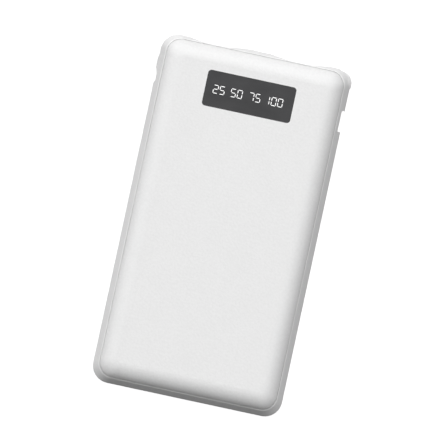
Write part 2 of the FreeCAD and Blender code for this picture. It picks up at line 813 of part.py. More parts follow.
def mid_frame():
    """The band: sloping edges outside, seats for the covers, a channel inside."""
    body = new_body("mid_frame")
    band_blank(body)
    top_trim(body)
    corner_bump(body)
    opening = new_sketch(body, "band_opening", offset=MID)
    rounded_rectangle(opening, "rail_width", "rail_length", "rail_corner")
    cut(body, opening, "body_thick", both_ways=True)
    for side, name in ((1, "front"), (-1, "rear")):
        seat = new_sketch(body, f"{name}_seat", offset=level(side, SEAT))
        rounded_rectangle(
            seat,
            "cover_width + 2 * seam_gap",
            "cover_length + 2 * seam_gap",
            "cover_corner + seam_gap",
            "cover_up",
        )
        cut(body, seat, "body_thick", reverse=side > 0)
        groove = new_sketch(body, f"{name}_groove", offset=level(side, "seam_floor"))
        rounded_rectangle(
            groove,
            "cover_width + 2 * seam_gap",
            "cover_length + 2 * seam_gap",
            "cover_corner + seam_gap",
            "cover_up",
        )
        rounded_rectangle(groove, "cover_width", "cover_length", "cover_corner", "cover_up")
        cut(body, groove, f"{SEAT} - seam_floor", reverse=side > 0)
    channel = new_sketch(body, "band_channel", offset=MID)
    rounded_rectangle(
        channel,
        "body_width - 2 * web_wall",
        "body_length - 2 * web_wall",
        "channel_corner",
    )
    cut(body, channel, "channel_height", both_ways=True)
    band_openings(body)
    return body


# ---------------------------------------------------------------- window and digits

# Segments of a digit: which outline each takes, and the way it faces across and along.
SEGMENTS = {
    "a": ("cap", 1, 1),
    "b": ("side", 1, 1),
    "c": ("side", 1, -1),
    "d": ("cap", 1, -1),
    "e": ("side", -1, -1),
    "f": ("side", -1, 1),
    "g": ("bar", 1, 1),
}
LIT = {"0": "abcdef", "1": "ef", "2": "abged", "5": "afgcd", "7": "abc"}
READOUTS = {"25": -13.68, "50": -6.98, "75": -0.1, "100": 8.4}  # left edge of the first full digit


def segment_outlines():
    """Corners of the three kinds of segment about a digit's middle, with mitred ends."""
    half = value("digit_wide / 2")
    high = value("digit_high / 2")
    stroke = value("digit_stroke")
    gap = value("digit_gap")
    inner = half - stroke
    flat = inner - gap
    tip = half - stroke / 2 - gap
    shelf = stroke / 2
    return {
        "cap": [(gap - half, high), (half - gap, high), (flat, high - stroke), (-flat, high - stroke)],
        "side": [(half, high - gap), (half, gap), (inner, shelf + gap), (inner, high - stroke - gap)],
        "bar": [(-tip, 0), (-flat, shelf), (flat, shelf), (tip, 0), (flat, -shelf), (-flat, -shelf)],
    }


def segment_faces(letter, left, low_z):
    """Flat faces of one digit's lit segments."""
    outlines = segment_outlines()
    across = left + value("digit_wide / 2")
    along = value("window_middle")
    faces = []
    for name in LIT[letter]:
        kind, right, up = SEGMENTS[name]
        places = [(across + right * x, along + up * y) for x, y in outlines[kind]]
        points = [FreeCAD.Vector(x, y, low_z) for x, y in places]
        faces.append(Part.Face(Part.makePolygon(points + points[:1])))
    return faces


def readout_bars(text, left):
    """Solid bars for every lit segment of a read-out."""
    base = value("body_thick - window_thick")
    bars = []
    place = left
    for letter in text:
        if letter == "1":
            faces = segment_faces(letter, place - value("digit_one_back"), base)
        else:
            faces = segment_faces(letter, place, base)
            place += value("digit_pitch")
        bars += [face.extrude(FreeCAD.Vector(0, 0, value("window_thick"))) for face in faces]
    return bars


def light_guide(text, left):
    """Raised segments on one thin foot under the window."""
    bars = readout_bars(text, left)
    foot = value("guide_base")
    box = Part.makeCompound(bars).BoundBox
    rim = value("digit_stroke")
    slab = Part.makeBox(
        box.XLength + 2 * rim,
        box.YLength + 2 * rim,
        foot,
        FreeCAD.Vector(box.XMin - rim, box.YMin - rim, box.ZMin - foot),
    )
    item = doc.addObject("Part::Feature", f"digits_{text}")
    item.Shape = slab.multiFuse(bars).removeSplitter()
    return item


def display_window():
    """The dark plate, with a slot for each light guide."""
    plate = new_body("window_plate")
    outline = new_sketch(plate, "plate_outline", offset="body_thick - window_thick")
    rounded_rectangle(outline, "window_width", "window_length", "window_corner", "window_middle")
    pad(plate, outline, "window_thick")
    slots = doc.addObject("Part::Feature", "window_slots")
    bars = [bar for text, left in READOUTS.items() for bar in readout_bars(text, left)]
    slots.Shape = Part.makeCompound(bars)
    return difference("display_window", plate, slots)


def window_adhesive():
    body = new_body("window_adhesive")
    ring = new_sketch(body, "adhesive_ring", offset="body_thick - window_thick - adhesive_thick")
    rounded_rectangle(
        ring,
        "window_width - 2 * adhesive_margin",
        "window_length - 2 * adhesive_margin",
        "window_corner",
        "window_middle",
    )
    rounded_rectangle(
        ring,
        "window_width - 2 * (window_ledge - adhesive_margin)",
        "window_length - 2 * (window_ledge - adhesive_margin)",
        "window_corner / 2",
        "window_middle",
    )
    pad(body, ring, "adhesive_thick")
    return body


def display_housing():
    body = new_body("display_housing")
    lower = new_sketch(body, "housing_lower", offset="display_low")
    rounded_rectangle(lower, "display_width", "display_length", "display_corner", "window_middle")
    pad(body, lower, "display_high - display_low")
    upper = new_sketch(body, "housing_upper", offset="display_high")
    rounded_rectangle(
        upper,
        "display_width - 2 * display_step",
        "display_length - 2 * display_step",
        "display_top_corner",
        "window_middle",
    )
    pad(body, upper, "body_thick - window_thick - guide_base - display_high")
    return body


def display_pins():
    pins = []
    for number in range(PIN_COUNT):
        across = f"({number} - {(PIN_COUNT - 1) / 2}) * pin_pitch"
        pins.append(
            rod(
                f"display_pin_{number}",
                "pin_size",
                "display_low - board_top",
                (across, "pin_line"),
                "board_top",
            )
        )
    return group("display_pins", pins)


# ---------------------------------------------------------------- circuit board


def main_board():
    """The board: a tab under the input socket, notches for the sunk output sockets."""
    body = new_body("main_board")
    outline = new_sketch(body, "board_outline", offset="board_top - board_thick")
    half = "board_width / 2"
    polygon(
        outline,
        [
            (f"-{half}", "board_low"),
            (half, "board_low"),
            (half, "port_notch_low"),
            ("board_tab", "port_notch_low"),
            ("board_tab", "port_notch_high"),
            (half, "port_notch_high"),
            (half, "board_high"),
            (f"-{half}", "board_high"),
        ],
    )
    pad(body, outline, "board_thick")
    notches = new_sketch(body, "board_notches", offset="board_top")
    rear = "output_mouth - output_depth - output_play"
    for hand in (-1, 1):
        rectangle(
            notches,
            "output_width + 2 * output_play",
            f"board_high + {CLEAR} - ({rear})",
            f"{hand} * output_across",
            f"(board_high + {CLEAR} + {rear}) / 2",
        )
    cut(body, notches, "board_thick")
    holes = new_sketch(body, "board_holes", offset="board_top")
    screw_circles(holes, "board_bore")
    cut(body, holes, "board_thick")
    return body


def board_screws():
    """Four pan-head screws through the board into the rear cover's bosses."""
    screws = []
    for number, centre in enumerate(SCREWS):
        head = rod(f"head_{number}", "screw_head", "screw_head_high", centre, "board_top")
        length = "(board_thick + screw_long)"
        shank = rod(f"shank_{number}", "screw_size", length, centre, f"board_top - {length}")
        slot = block(
            f"slot_{number}",
            ("screw_head", "screw_slot", "screw_slot"),
            centre,
            "board_top + screw_head_high - screw_slot",
        )
        whole = union(f"screw_blank_{number}", [head, shank])
        screws.append(difference(f"screw_{number}", whole, slot))
    return group("board_screws", screws)


def board_components():
    coil = new_body("boost_inductor")
    outline = new_sketch(coil, "coil_outline", offset="board_top")
    size = ("coil_size", "coil_size")
    centre = ("coil_across", "parts_line")
    rectangle(outline, *size, *centre)
    blank = pad(coil, outline, "coil_high")
    fillet(coil, blank, upright_edges(blank), "coil_corner")
    core = rod("inductor_core", "coil_core", "coil_core_high", centre, "board_top + coil_high")
    charge = block(
        "charge_chip",
        ("charge_size", "charge_size", "charge_high"),
        ("charge_across", "parts_line"),
        "board_top",
    )
    boost = block(
        "boost_chip",
        ("boost_wide", "boost_long", "boost_high"),
        ("boost_across", "boost_middle"),
        "board_top",
    )
    caps = []
    for number in range(CAP_COUNT):
        centre = (f"cap_across + {number} * cap_pitch", "boost_middle")
        size = ("cap_wide", "cap_long", "cap_high")
        caps.append(block(f"capacitor_{number}", size, centre, "board_top"))
    return [coil, core, charge, boost, group("capacitors", caps)]


# ---------------------------------------------------------------- sockets


def output_socket(name, hand):
    """A USB-A socket: folded shell, tongue with its block, and four contact strips."""
    centre = f"{hand} * output_across"
    shell = new_body(f"output_shell_{name}")
    outer = new_sketch(shell, f"{name}_shell", plane="XZ_Plane", offset="-output_mouth")
    rectangle(outer, "output_width", "output_height", centre, MID)
    pad(shell, outer, "output_depth")
    inner = new_sketch(shell, f"{name}_hollow", plane="XZ_Plane", offset="-output_mouth")
    clear = ("output_width - 2 * output_wall", "output_height - 2 * output_wall")
    rectangle(inner, *clear, centre, MID)
    cut(shell, inner, "output_depth - output_wall", reverse=True)

    rear = "(output_mouth - output_depth + output_wall)"
    nose = "(output_mouth - tongue_back)"
    tongue = block(
        f"{name}_tongue_blade",
        ("tongue_width", f"{nose} - {rear}", "tongue_thick"),
        (centre, f"({nose} + {rear}) / 2"),
        "tongue_low",
    )
    heel = block(
        f"{name}_tongue_block",
        (clear[0], "tongue_block", clear[1]),
        (centre, f"{rear} + tongue_block / 2"),
        f"{MID} - ({clear[1]}) / 2",
    )
    strips = []
    for number, across in enumerate(
        ("-contact_outer", "-contact_inner", "contact_inner", "contact_outer")
    ):
        strips.append(
            block(
                f"{name}_contact_{number}",
                ("contact_wide", "contact_long", "contact_thick"),
                (f"{centre} + {across}", f"{nose} - contact_back - contact_long / 2"),
                "tongue_low - contact_thick",
            )
        )
    return [
        shell,
        union(f"output_tongue_{name}", [tongue, heel]),
        group(f"output_contacts_{name}", strips),
    ]


def input_socket():
    """A micro-USB socket with its two lower corners cut off."""
    shell = new_body("input_shell")

    def outline(sketch, inset):
        wide = f"(input_width / 2 - {inset})"
        high = f"(input_height / 2 - {inset})"
        bevel = f"(input_bevel - {inset} * (2 - sqrt(2)))"
        centre = "input_middle"
        polygon(
            sketch,
            [
                (f"{centre} - {wide} + {bevel}", f"{MID} - {high}"),
                (f"{centre} + {wide} - {bevel}", f"{MID} - {high}"),
                (f"{centre} + {wide}", f"{MID} - {high} + {bevel}"),
                (f"{centre} + {wide}", f"{MID} + {high}"),
                (f"{centre} - {wide}", f"{MID} + {high}"),
                (f"{centre} - {wide}", f"{MID} - {high} + {bevel}"),
            ],
        )

    outer = new_sketch(shell, "input_outer", plane="YZ_Plane", offset="input_mouth")
    outline(outer, "0")
    pad(shell, outer, "input_depth", reverse=True)
    inner = new_sketch(shell, "input_inner", plane="YZ_Plane", offset="input_mouth")
    outline(inner, "input_wall")
    cut(shell, inner, "input_depth - input_wall")
    rear = "(input_mouth - input_depth + input_wall)"
    nose = "(input_mouth - input_tongue_back)"
    tongue = block(
        "input_tongue",
        (f"{nose} - {rear}", "input_tongue_wide", "input_tongue_thick"),
        (f"({nose} + {rear}) / 2", "input_middle"),
        f"{MID} + input_tongue_up",
    )
    return [shell, tongue]


# ---------------------------------------------------------------- power button and switch


def power_button():
    """Cap with a grooved face, a flange that keeps it in the band, and a post."""
    body = new_body("power_button")
    face = "-(body_width / 2 + side_proud)"
    flange_front = "-(body_width / 2 - web_wall - button_flange_play)"
    flange_back = f"({flange_front} + button_flange_thick)"
    cap = new_sketch(body, "cap_outline", plane="YZ_Plane", offset=face)
    rectangle(cap, "button_long", "button_high", "button_middle", MID)
    blank = pad(body, cap, f"{flange_front} - ({face})")
    front = value(face)
    rim = edges_where(blank, lambda p: abs(p.x - front) < SAME)
    fillet(body, blank, rim, "button_round")
    line = new_sketch(body, "cap_groove", plane="YZ_Plane", offset=face)
    rectangle(line, "button_line_wide", "button_high", "button_middle - button_line", MID)
    cut(body, line, "button_line_deep", reverse=True)
    flange = new_sketch(body, "flange_outline", plane="YZ_Plane", offset=flange_front)
    rectangle(
        flange,
        "button_long + 2 * button_flange",
        "button_high + 2 * button_flange",
        "button_middle",
        MID,
    )
    pad(body, flange, "button_flange_thick")
    post = new_sketch(body, "post_outline", plane="YZ_Plane", offset=flange_back)
    rectangle(post, "button_post", "button_post", "button_middle", MID)
    tip = "-(switch_face + plunger_out + post_play)"
    pad(body, post, f"{tip} - {flange_back}")
    return body


def tact_switch():
    body = new_body("switch_body")
    face = "-switch_face"
    outline = new_sketch(body, "switch_outline", plane="YZ_Plane", offset=face)
    rectangle(outline, "switch_long", "switch_high", "button_middle", MID)
    pad(body, outline, "switch_deep")
    hole = new_sketch(body, "switch_hole", plane="YZ_Plane", offset=face)
    rectangle(
        hole,
        "plunger_long + 2 * plunger_play",
        "plunger_high + 2 * plunger_play",
        "button_middle",
        MID,
    )
    cut(body, hole, "plunger_room", reverse=True)
    plunger = block(
        "switch_plunger",
        ("plunger_out + plunger_in", "plunger_long", "plunger_high"),
        (f"{face} + (plunger_in - plunger_out) / 2", "button_middle"),
        f"{MID} - plunger_high / 2",
    )
    return [body, plunger]


# ---------------------------------------------------------------- cells

CELL_MIDDLE = "(cell_low + cell_length / 2)"
CELL_TOP = "(cell_low + cell_length)"
CELL_FLOORS = {
    "cell_lower": "(cover_wall + foam_rear_thick)",
    "cell_upper": "(cover_wall + foam_rear_thick + cell_thick + tape_thick)",
}


def pouch_cell(label):
    """A foil pouch: a slab with round corners and soft edges."""
    body = new_body(label)
    floor = CELL_FLOORS[label]
    outline = new_sketch(body, f"{label}_outline", offset=floor)
    rounded_rectangle(outline, "cell_width", "cell_length", "cell_corner", CELL_MIDDLE)
    blank = pad(body, outline, "cell_thick")
    low = value(floor)
    high = low + value("cell_thick")
    rim = edges_where(blank, lambda p: abs(p.z - low) < SAME or abs(p.z - high) < SAME)
    fillet(body, blank, rim, "cell_round")
    return body


def cell_packing():
    """Tape between the cells, and foam between them and the covers."""
    tape = block(
        "cell_tape",
        ("cell_width - 2 * tape_margin", "cell_length - 2 * tape_margin", "tape_thick"),
        ("0", CELL_MIDDLE),
        f"{CELL_FLOORS['cell_upper']} - tape_thick",
    )
    pad_size = ("cell_width - 2 * foam_margin", "cell_length - 2 * foam_margin")
    rear = block("foam_rear", (*pad_size, "foam_rear_thick"), ("0", CELL_MIDDLE), "cover_wall")
    cells_top = f"({CELL_FLOORS['cell_upper']} + cell_thick)"
    front = block(
        "foam_front",
        (*pad_size, f"body_thick - cover_wall - {cells_top}"),
        ("0", CELL_MIDDLE),
        cells_top,
    )
    return [tape, rear, front]


GUARD_LOW = f"({CELL_TOP} + guard_gap)"
GUARD_HIGH = f"({GUARD_LOW} + guard_long)"


def cell_tabs():
    """Two tabs from each cell, above and below the protection board."""
    tabs = []
    end = f"({GUARD_HIGH} - tab_end)"
    floors = (f"{MID} - guard_thick / 2 - tab_thick", f"{MID} + guard_thick / 2")
    for floor_number, floor in enumerate(floors):
        for hand in (-1, 1):
            tabs.append(
                block(
                    f"tab_{floor_number}_{'left' if hand < 0 else 'right'}",
                    ("tab_wide", f"{end} - {CELL_TOP}", "tab_thick"),
                    (f"{hand} * tab_across", f"({end} + {CELL_TOP}) / 2"),
                    floor,
                )
            )
    return group("cell_tabs", tabs)


def battery_lead(label, hand):
    """A round lead: it leaves the protection board, dips in an S and lies on the main board."""
    body = new_body(label)
    start = GUARD_HIGH
    bend, drop = value("lead_bend"), value(f"{MID} - board_top - lead_size / 2")
    turn_cos = 1 - drop / (2 * bend)
    turn_sin = (1 - turn_cos**2) ** 0.5
    half_cos = ((1 + turn_cos) / 2) ** 0.5
    half_sin = ((1 - turn_cos) / 2) ** 0.5
    y, z = value(start), value(MID)
    middle = (y + bend * turn_sin, z - drop / 2)
    end = (y + 2 * bend * turn_sin, z - drop)
    path = new_sketch(body, f"{label}_path", plane="YZ_Plane", offset=f"{hand} * lead_across")
    first_bend = (y + bend * half_sin, z - bend * (1 - half_cos))
    last_bend = (end[0] - bend * half_sin, end[1] + bend * (1 - half_cos))
    tail = (end[0] + value("lead_tail"), end[1])
    stops = [FreeCAD.Vector(*p, 0) for p in ((y, z), first_bend, middle, last_bend, end, tail)]
    path.addGeometry(Part.Arc(stops[0], stops[1], stops[2]))
    path.addGeometry(Part.Arc(stops[2], stops[3], stops[4]))
    path.addGeometry(Part.LineSegment(stops[4], stops[5]))
    section = new_sketch(body, f"{label}_section", plane="XZ_Plane", offset=f"-({start})")
    centre = FreeCAD.Vector(value(f"{hand} * lead_across"), z, 0)
    circle = Part.Circle(centre, FreeCAD.Vector(0, 0, 1), value("lead_size") / 2)
    geo = section.addGeometry(circle)
    tie_radius(section, geo, "lead_size / 2")
    tie(section, "DistanceX", geo, 3, f"{hand} * lead_across")
    tie(section, "DistanceY", geo, 3, MID)
    doc.recompute()
    pipe = body.newObject("PartDesign::AdditivePipe", f"{label}_pipe")
    pipe.Profile = section
    pipe.Spine = path
    doc.recompute()
    return body


def battery():
    guard = block(
        "protection_board",
        ("guard_width", "guard_long", "guard_thick"),
        ("0", f"({GUARD_LOW} + {GUARD_HIGH}) / 2"),
        f"{MID} - guard_thick / 2",
    )
    return [
        pouch_cell("cell_lower"),
        pouch_cell("cell_upper"),
        *cell_packing(),
        cell_tabs(),
        guard,
        battery_lead("lead_negative", -1),
        battery_lead("lead_positive", 1),
    ]


# ---------------------------------------------------------------- assembly


def build():
    return [
        front_cover(),
        mid_frame(),
        rear_cover(),
        display_window(),
        window_adhesive(),
        *[light_guide(text, left) for text, left in READOUTS.items()],
        display_housing(),
        display_pins(),
        main_board(),
        board_screws(),
        *board_components(),
        *output_socket("left", -1),
        *output_socket("right", 1),
        *input_socket(),
        power_button(),
        *tact_switch(),
        *battery(),
    ]


sub_parts = build()
doc.recompute()
for item in doc.Objects:
    if any(word in ("Invalid", "Error") for word in item.State):
        raise RuntimeError(f"{item.Name} failed: {item.State}")
for item in sub_parts:
    if item.Shape.isNull() or not item.Shape.isValid() or item.Shape.Volume <= 0:
        raise RuntimeError(f"{item.Label} has no valid shape")
for item in sub_parts:
    item.Shape.exportStep(f"parts/{item.Label}.step")
    print(item.Label, len(item.Shape.Solids), round(item.Shape.Volume, 2))
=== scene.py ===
import bpy, json, math
from functools import partial
from mathutils import Matrix, Vector

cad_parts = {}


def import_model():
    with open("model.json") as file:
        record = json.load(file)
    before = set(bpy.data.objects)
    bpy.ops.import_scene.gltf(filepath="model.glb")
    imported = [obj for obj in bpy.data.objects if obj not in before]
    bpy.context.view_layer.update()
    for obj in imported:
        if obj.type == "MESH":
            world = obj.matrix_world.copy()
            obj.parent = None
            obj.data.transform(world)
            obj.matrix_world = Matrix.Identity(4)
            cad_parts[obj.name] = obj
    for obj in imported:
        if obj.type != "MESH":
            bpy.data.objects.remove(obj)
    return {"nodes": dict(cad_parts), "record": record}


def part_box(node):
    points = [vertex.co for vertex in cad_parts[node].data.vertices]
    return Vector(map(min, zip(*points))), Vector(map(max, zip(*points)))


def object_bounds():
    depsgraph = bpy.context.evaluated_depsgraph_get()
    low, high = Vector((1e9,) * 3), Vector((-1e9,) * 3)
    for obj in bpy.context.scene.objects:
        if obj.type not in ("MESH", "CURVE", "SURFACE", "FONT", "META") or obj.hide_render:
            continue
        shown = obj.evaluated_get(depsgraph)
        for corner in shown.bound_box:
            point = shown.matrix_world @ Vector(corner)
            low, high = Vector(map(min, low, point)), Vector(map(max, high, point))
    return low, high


# A power bank that lies on its back, seen straight from above and turned a little clockwise.
# Lengths are metres. The shapes are the frame's own nodes; this script gives them their
# materials, and sets the floor, the lights and the camera.

MM = 0.001
UM = 1e-6  # a micrometre

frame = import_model()
cad_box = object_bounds()
nodes = frame["nodes"]
record = frame["record"]
colours = {row["slot"]: row["base_color"] for row in record["materials"]}

# ---------------------------------------------------------------- stage

TURN = math.radians(12.14)  # how far the pack is turned in the view
VIEW_WIDTH = 167.1 * MM  # what the view spans at the object
VIEW_SHIFT = (0.96 * MM, 0.55 * MM)  # view's middle from the pack's middle, across and up
DISTANCE = 4.0  # from the pack to the camera
SENSOR = 36.0  # the camera's sensor, in millimetres
CLIP_NEAR, CLIP_FAR = 0.1, 20.0

LAMPS = {  # way from the pack as azimuth and height in degrees, and power in watts
    "key": (75, 60, 308.0),
    "side": (150, 40, 191.0),
}
LAMP_DISTANCE = 6.0
LAMP_SIZE = 4.5  # across
AMBIENT = 0.037  # light from all round
BOUNCE = 2.5  # light that a pale floor would send up from near the pack
BOUNCE_STARTS, BOUNCE_FULL = -0.7, -0.85  # how steeply below, as the height of a unit direction
FLOOR_HALF = 6.0  # half the floor's side
FLOOR_TONE = 0.25  # share of the lamps' light that it sends back
FLOOR_GLOW = 0.95  # its own light, where 1 is white
WHITE = (1, 1, 1, 1)


def camera():
    """Looks straight down on the face."""
    low, high = cad_box
    back = Vector((0, 0, 1))
    across = Vector((math.cos(TURN), math.sin(TURN), 0))
    up = back.cross(across)
    aim = (low + high) / 2 + across * VIEW_SHIFT[0] + up * VIEW_SHIFT[1]
    data = bpy.data.cameras.new("camera")
    data.sensor_width = SENSOR
    data.lens = SENSOR * DISTANCE / VIEW_WIDTH
    data.clip_start = CLIP_NEAR
    data.clip_end = CLIP_FAR
    eye = bpy.data.objects.new("camera", data)
    turned = Matrix((across, up, back)).transposed().to_4x4()
    eye.matrix_world = Matrix.Translation(aim + back * DISTANCE) @ turned
    bpy.context.scene.collection.objects.link(eye)
    bpy.context.scene.camera = eye


def lamp(name, azimuth, height, power):
    """A large soft lamp that faces the pack."""
    turn, rise = math.radians(azimuth), math.radians(height)
    flat = math.cos(rise)
    way = Vector((flat * math.cos(turn), flat * math.sin(turn), math.sin(rise)))
    data = bpy.data.lights.new(name, "AREA")
    data.shape = "DISK"
    data.size = LAMP_SIZE
    data.energy = power
    shade = bpy.data.objects.new(name, data)
    facing = way.to_track_quat("Z", "Y").to_matrix().to_4x4()
    shade.matrix_world = Matrix.Translation(way * LAMP_DISTANCE) @ facing
    shade.visible_camera = False
    bpy.context.scene.collection.objects.link(shade)


def floor():
    """A white floor whose own glow leaves hardly a trace of the pack's shadow."""
    r = FLOOR_HALF
    mesh = bpy.data.meshes.new("floor")
    mesh.from_pydata([(-r, -r, 0), (r, -r, 0), (r, r, 0), (-r, r, 0)], [], [(0, 1, 2, 3)])
    sweep = bpy.data.objects.new("floor", mesh)
    bpy.context.scene.collection.objects.link(sweep)
    mat, _ = principled(
        "floor",
        Base_Color=(FLOOR_TONE, FLOOR_TONE, FLOOR_TONE, 1),
        Roughness=1,
        Specular_IOR_Level=0,
        Emission_Color=WHITE,
        Emission_Strength=FLOOR_GLOW,
    )
    mesh.materials.append(mat)
    sweep.visible_diffuse = False
    sweep.visible_glossy = False
    sweep.visible_shadow = False


def world():
    """Dim all round, brighter straight below, and white where the camera sees past the floor."""
    sky = bpy.data.worlds.new("world")
    bpy.context.scene.world = sky
    sky.use_nodes = True
    background = sky.node_tree.nodes["Background"]
    place = add(sky, "TexCoord").outputs["Generated"]
    height = add(sky, "SeparateXYZ", Vector=place).outputs["Z"]
    glow = spread(sky, height, AMBIENT, BOUNCE, start=BOUNCE_STARTS, end=BOUNCE_FULL)
    seen = add(sky, "LightPath").outputs["Is Camera Ray"]
    feed(sky, background.inputs["Strength"], mix(sky, seen, glow, 1.0))
    feed(sky, background.inputs["Color"], WHITE)


# ---------------------------------------------------------------- node helpers

NOISE_LOW, NOISE_HIGH = 0.3, 0.7  # nearly all of a noise texture lies between these
BEVEL_SAMPLES = 6
EDGE_TURN, FACE_TURN = 0.86, 0.99  # cosine of the bevel's turn on a sharp edge and on a face


def feed(owner, socket, given):
    """Sets a socket to a number, a colour or another node's output."""
    if isinstance(given, bpy.types.NodeSocket):
        owner.node_tree.links.new(given, socket)
    else:
        socket.default_value = given


def fed(shader, name):
    """The output that feeds one of the shader's sockets now."""
    return shader.inputs[name].links[0].from_socket


def add(owner, kind, settings=None, **sockets):
    """A shader node with its settings, and its sockets fed by name, _ standing for a space."""
    node = owner.node_tree.nodes.new(f"ShaderNode{kind}")
    for name, choice in (settings or {}).items():
        setattr(node, name, choice)
    for name, given in sockets.items():
        wanted = name.replace("_", " ")
        feed(owner, next(s for s in node.inputs if s.name == wanted and s.enabled), given)
    return node


def principled(name, **sockets):
    """A new material and its shader, with whatever is the same all over set on the shader."""
    mat = bpy.data.materials.new(name)
    mat.use_nodes = True
    shader = mat.node_tree.nodes["Principled BSDF"]
    for socket, given in sockets.items():
        shader.inputs[socket.replace("_", " ")].default_value = given
    return mat, shader


def spread(owner, factor, low, high, start=NOISE_LOW, end=NOISE_HIGH):
    """The factor's range from start to end, stretched over low to high."""
    limits = {"From_Min": start, "From_Max": end, "To_Min": low, "To_Max": high}
    return add(owner, "MapRange", Value=factor, **limits).outputs["Result"]


def mix(owner, share, first, second):
    """The first number where the share is 0, and the second where it is 1."""
    return add(owner, "Mix", Factor=share, A=first, B=second).outputs["Result"]


def combine(owner, operation, first, second):
    """A vector operation on a node's output and either another output or three numbers."""
    node = add(owner, "VectorMath", {"operation": operation})
    feed(owner, node.inputs[0], first)
    feed(owner, node.inputs[1], second)
    return node.outputs


def position(mat, stretch=(1, 1, 1)):
    """The place on the piece, in metres; a stretch under 1 draws a texture out along that axis."""
    place = add(mat, "TexCoord").outputs["Object"]
    return combine(mat, "MULTIPLY", place, stretch)["Vector"]


def noise(mat, size, detail=2.0, stretch=(1, 1, 1)):
    """Soft noise from 0 to 1 with grains about size metres across."""
    place = position(mat, stretch)
    return add(mat, "TexNoise", Vector=place, Scale=1 / size, Detail=detail).outputs[0]


def cells(mat, size, feature="F1"):
    """Distance to the nearest cell's middle or edge, for cells about size metres across."""
    settings = {"feature": feature}
    node = add(mat, "TexVoronoi", settings, Vector=position(mat), Scale=1 / size)
    return node.outputs["Distance"]


def tinted(colour, by):
    """The colour made paler or darker, with full alpha."""
    return [min(1, c * by) for c in colour] + [1]


def ramp(mat, factor, low, high):
    """The colour low where the factor is 0, and high where it is 1."""
    node = add(mat, "ValToRGB", Fac=factor)
    node.color_ramp.elements[0].color = low
    node.color_ramp.elements[1].color = high
    return node.outputs["Color"]


def tones(mat, shader, factor, colour, change):
    """Colour that drifts with a factor, from a little darker to a little lighter."""
    darker, lighter = tinted(colour, 1 - change), tinted(colour, 1 + change)
    feed(mat, shader.inputs["Base Color"], ramp(mat, spread(mat, factor, 0, 1), darker, lighter))


def gloss(mat, shader, factor, rough, change):
    """Roughness that drifts with a factor."""
    feed(mat, shader.inputs["Roughness"], spread(mat, factor, rough - change, rough + change))


def relief(mat, shader, heights):
    """Bump from a list of (height from 0 to 1, depth in metres), coarse before fine."""
    normal = None
    for height, depth in heights:
        bump = add(mat, "Bump", Height=height, Distance=depth, Strength=1.0)
        if normal:
            feed(mat, bump.inputs["Normal"], normal)
        normal = bump.outputs["Normal"]
    feed(mat, shader.inputs["Normal"], normal)


def worn_edges(mat, radius):
    """1 on edges sharper than the radius and 0 on open faces."""
    soft = add(mat, "Bevel", {"samples": BEVEL_SAMPLES}, Radius=radius).outputs["Normal"]
    sharp = add(mat, "NewGeometry").outputs["Normal"]
    turn = combine(mat, "DOT_PRODUCT", soft, sharp)["Value"]
    return spread(mat, turn, 1, 0, start=EDGE_TURN, end=FACE_TURN)


def rub(mat, shader, mask, rough):
    """Where the mask is 1, handling has changed the roughness to rough."""
    feed(mat, shader.inputs["Roughness"], mix(mat, mask, fed(shader, "Roughness"), rough))


# ---------------------------------------------------------------- materials

CLOUD, SMEAR, PEBBLE = 60, 12, 5.5  # patches on moulded plastic, in grains across
PEBBLE_SHARE = 0.75  # how far its colour follows the pebbles and not the clouds
PEBBLE_DEPTH = 8  # in depths of the fine grain
MOULDED_EDGE = 0.25 * MM  # reach of the rub along a moulded edge
HARD_EDGE = 0.12 * MM  # and along an edge of metal or ceramic
CREST_PAINTED_HIGHLIGHT = 1.12  # how much paler the band's crests are painted, a painted highlight
CREST_STARTS, CREST_FULL = 0.925, 0.955  # where the painted highlight starts and where it is full, as a share of the way from the band's middle to its rim
TARNISH = 25  # clouds on metal, in grains across
TARNISH_DEPTH = 3  # in depths of the drawn lines
EDGE_SHINE = 0.6  # a metal edge's roughness, as a share of its face's
EDGE_DULL = 0.2  # how much rougher a ceramic edge is than its face
TRACE_PALER = 1.6  # how much paler the mask is over a trace


def moulded(slot, rough, grain, depth, specular=0.5, drift=0.012, edge_rough=None):
    """Moulded plastic: an eroded grain, cloudy patches, and edges rubbed smoother."""
    mat, shader = principled(slot, Specular_IOR_Level=specular)
    clouds = noise(mat, CLOUD * grain)
    smears = noise(mat, SMEAR * grain, detail=4)
    pebbles = noise(mat, PEBBLE * grain, detail=1)
    fine = noise(mat, grain, detail=3)
    tones(mat, shader, mix(mat, PEBBLE_SHARE, clouds, pebbles), colours[slot], drift)
    gloss(mat, shader, smears, rough, change=0.05)
    if edge_rough is not None:
        rub(mat, shader, worn_edges(mat, MOULDED_EDGE), edge_rough)
    relief(mat, shader, [(pebbles, PEBBLE_DEPTH * depth), (fine, depth)])
    return mat


def band_with_painted_highlight(slot, node, **texture):
    """Moulded plastic with a painted highlight: a little paler along the node's two crests."""
    mat = moulded(slot, **texture)
    shader = mat.node_tree.nodes["Principled BSDF"]
    low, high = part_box(node)
    place = add(mat, "NewGeometry").outputs["Position"]
    height = add(mat, "SeparateXYZ", Vector=place).outputs["Z"]
    level = spread(mat, height, -1, 1, start=low[2], end=high[2])
    away = add(mat, "Math", {"operation": "ABSOLUTE"}, Value=level).outputs[0]
    # painted highlight: the band's colour is made paler along its two crests, the lips beside the
    # seams, where light catches them
    painted_highlight = spread(mat, away, 0, 1, start=CREST_STARTS, end=CREST_FULL)
    plain, paler = fed(shader, "Base Color"), tinted(colours[slot], CREST_PAINTED_HIGHLIGHT)
    mixed = add(mat, "MixRGB", Fac=painted_highlight, Color1=plain, Color2=paler).outputs["Color"]
    feed(mat, shader.inputs["Base Color"], mixed)
    return mat


